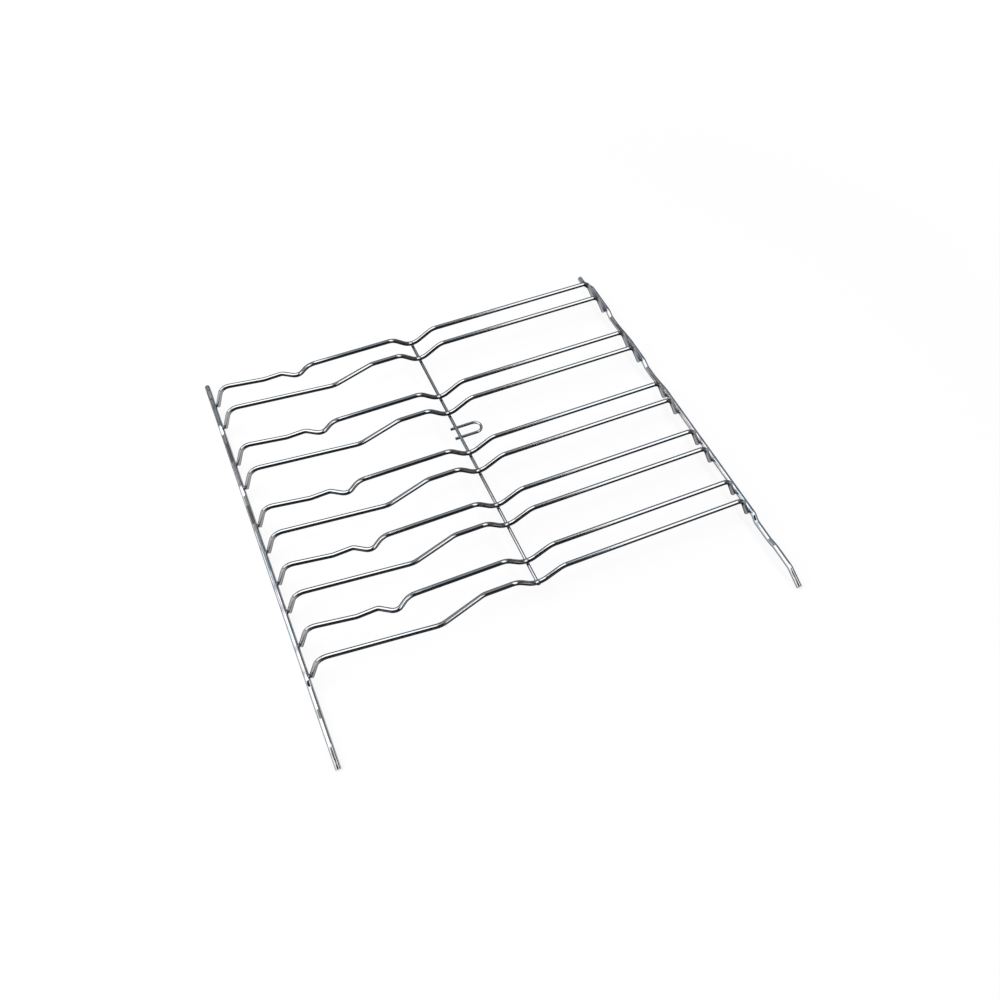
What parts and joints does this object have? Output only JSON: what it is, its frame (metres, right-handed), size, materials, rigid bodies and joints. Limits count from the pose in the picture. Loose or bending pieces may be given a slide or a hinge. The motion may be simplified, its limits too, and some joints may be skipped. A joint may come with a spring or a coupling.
{
  "type": "oven side rack",
  "caption": "Welded plated-wire side rack for an oven wall: paired rails with end legs form tray slots between two bent uprights, with a thin centre rod and a wall loop.",
  "frame": {"origin": "middle of the rack's outline on the surface it lies on, under the upright ends", "axes": "+X along the rails to the plain end, +Y along the uprights to the dropped stubs, +Z away from the oven wall, to the tray side"},
  "size_m": [0.349, 0.3612, 0.0289],
  "materials": {
    "plated_wire": "bright plated and polished, with light drawing marks"
  },
  "bodies": {
    "root": {"left_upright": "plated_wire", "right_upright": "plated_wire", "upper_rung_1": "plated_wire", "upper_rung_2": "plated_wire", "upper_rung_3": "plated_wire", "upper_rung_4": "plated_wire", "upper_rung_5": "plated_wire", "lower_rung_1": "plated_wire", "lower_rung_2": "plated_wire", "lower_rung_3": "plated_wire", "lower_rung_4": "plated_wire", "lower_rung_5": "plated_wire", "centre_rod": "plated_wire", "wall_loop": "plated_wire"}
  },
  "joints": []
}
